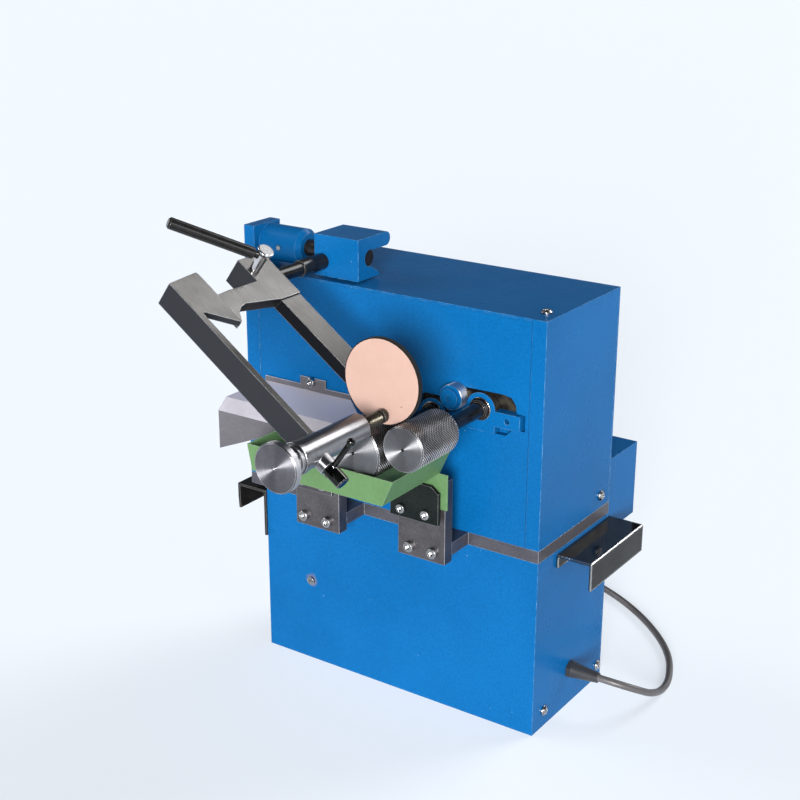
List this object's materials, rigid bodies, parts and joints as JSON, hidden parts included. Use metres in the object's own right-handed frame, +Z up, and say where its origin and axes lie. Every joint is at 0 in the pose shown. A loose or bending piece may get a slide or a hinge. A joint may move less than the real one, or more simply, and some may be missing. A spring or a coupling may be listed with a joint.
{
  "type": "leather edge dyeing machine",
  "caption": "Bench machine that inks the edges of leather straps: two driven rollers over a small ink tray, with a swing-up fork that carries a guide disc and a screw spindle.",
  "frame": {"origin": "centre of the cabinet's underside, on the bench", "axes": "+Z up, -Y toward the operator (the front, with rollers and tray), +X to the operator's right"},
  "size_m": [0.4188, 0.5771, 0.4848],
  "materials": {
    "blue_paint": "gloss enamel",
    "steel_plate": "ground",
    "turned_steel": "fine turned",
    "bright_steel": "polished",
    "black_steel": "black oxide, oiled",
    "zinc": "zinc plated",
    "bronze": "turned",
    "green_paint": "satin enamel",
    "grey_paint": "satin",
    "alu_cast": "cast",
    "black_plastic": "moulded",
    "red_plastic": "moulded",
    "disc_face": "smooth",
    "belt_rubber": "smooth",
    "cord_rubber": "satin"
  },
  "bodies": {
    "cabinet": {"base_plate": "blue_paint", "lower_casing": "blue_paint", "lower_back_panel": "blue_paint", "deck_plate": "blue_paint", "front_panel": "blue_paint", "upper_cover": "blue_paint", "upper_back_panel": "blue_paint", "motor_cover": "blue_paint", "carry_handle_left": "bright_steel", "carry_handle_right": "bright_steel", "pan_screws": "zinc", "socket_screws": "zinc", "tray_bracket_left": "steel_plate", "tray_bracket_right": "steel_plate", "hanger_plate_left": "steel_plate", "hanger_plate_right": "black_steel", "feed_table": "grey_paint", "bearing_block_left": "blue_paint", "bearing_block_right": "blue_paint", "bronze_bushings": "bronze", "gear_plate": "zinc", "idler_stud": "turned_steel", "drive_belt": "belt_rubber", "gearbox": "alu_cast", "motor_body": "alu_cast", "motor_controller": "black_plastic", "switch_housing": "black_plastic", "head_pedestal": "blue_paint", "cross_shaft": "black_steel", "cable_gland": "black_plastic", "cord_tube": "cord_rubber", "coil_tie": "black_plastic", "plug_body": "black_plastic", "plug_pins": "bronze"},
    "tray": {"ink_tray": "green_paint"},
    "left_roller": {"roller_left": "turned_steel", "shaft_left": "black_steel", "gear_left": "turned_steel"},
    "right_roller": {"roller_right": "turned_steel", "shaft_right": "black_steel", "gear_right": "turned_steel", "shaft_pulley": "zinc"},
    "idler": {"idler_gear": "turned_steel"},
    "motor_output": {"gearbox_shaft": "turned_steel", "motor_pulley": "zinc"},
    "power_switch": {"switch_rocker": "red_plastic"},
    "head": {"head_block": "blue_paint", "pivot_rod": "black_steel"},
    "fork": {"fork_front_arm": "steel_plate", "fork_bridge": "steel_plate", "fork_rear_arm": "steel_plate", "barrel": "bright_steel"},
    "clamp": {"clamp_screw": "bright_steel", "clamp_lever": "black_steel"},
    "disc": {"guide_disc": "disc_face", "disc_axle": "turned_steel"},
    "tip": {"spindle_tip": "black_steel"},
    "spindle_knob": {"spindle": "black_steel", "knob": "turned_steel"},
    "lock": {"lock_screw": "black_steel"}
  },
  "joints": [
    {"name": "tray_lift", "type": "slide", "parent": "cabinet", "child": "tray", "axis": [0, 0, 1], "range_m": [0, 0.006]},
    {"name": "left_roller_spin", "type": "hinge", "parent": "cabinet", "child": "left_roller", "pos_m": [0.0441, -0.1585, 0.2975], "axis": [0, 1, 0], "continuous": true},
    {"name": "right_roller_spin", "type": "hinge", "parent": "cabinet", "child": "right_roller", "pos_m": [0.0942, -0.1585, 0.3116], "axis": [0, 1, 0], "continuous": true},
    {"name": "idler_spin", "type": "hinge", "parent": "cabinet", "child": "idler", "pos_m": [0.06813, -0.0385, 0.31863], "axis": [0, 1, 0], "continuous": true},
    {"name": "motor_spin", "type": "hinge", "parent": "cabinet", "child": "motor_output", "pos_m": [0.1, -0.0205, 0.208], "axis": [0, 1, 0], "continuous": true},
    {"name": "switch_tip", "type": "hinge", "parent": "cabinet", "child": "power_switch", "pos_m": [-0.0975, 0.0605, 0.08], "axis": [1, 0, 0], "range_deg": [0, 16]},
    {"name": "head_slide", "type": "slide", "parent": "cabinet", "child": "head", "axis": [1, 0, 0], "range_m": [-0.005, 0]},
    {"name": "fork_swing", "type": "hinge", "parent": "head", "child": "fork", "pos_m": [-0.0857, -0.1635, 0.4159], "axis": [0, -1, 0], "range_deg": [0, 95]},
    {"name": "clamp_turn", "type": "hinge", "parent": "fork", "child": "clamp", "pos_m": [-0.0682, -0.173, 0.44027], "axis": [0.5807, 0, 0.8141], "range_deg": [-40, 40]},
    {"name": "disc_spin", "type": "hinge", "parent": "fork", "child": "disc", "pos_m": [0.0628, -0.1755, 0.36], "axis": [0, 1, 0], "continuous": true},
    {"name": "spindle_feed", "type": "slide", "parent": "fork", "child": "tip", "axis": [0, 1, 0], "range_m": [-0.0281, 0]},
    {"name": "knob_turn", "type": "hinge", "parent": "tip", "child": "spindle_knob", "pos_m": [0.066, -0.2685, 0.332], "axis": [0, 1, 0], "range_deg": [-5040, 0]},
    {"name": "lock_turn", "type": "hinge", "parent": "fork", "child": "lock", "pos_m": [0.08228, -0.2755, 0.32039], "axis": [0.8141, 0, -0.5807], "range_deg": [-90, 90]}
  ],
  "couplings": [
    {"joint": "right_roller_spin", "follows": "left_roller_spin", "ratio": 1.3333},
    {"joint": "idler_spin", "follows": "left_roller_spin", "ratio": -1.6667},
    {"joint": "motor_spin", "follows": "left_roller_spin", "ratio": 1.3333},
    {"joint": "spindle_feed", "follows": "knob_turn", "m_per_rad": 0.00031831}
  ]
}
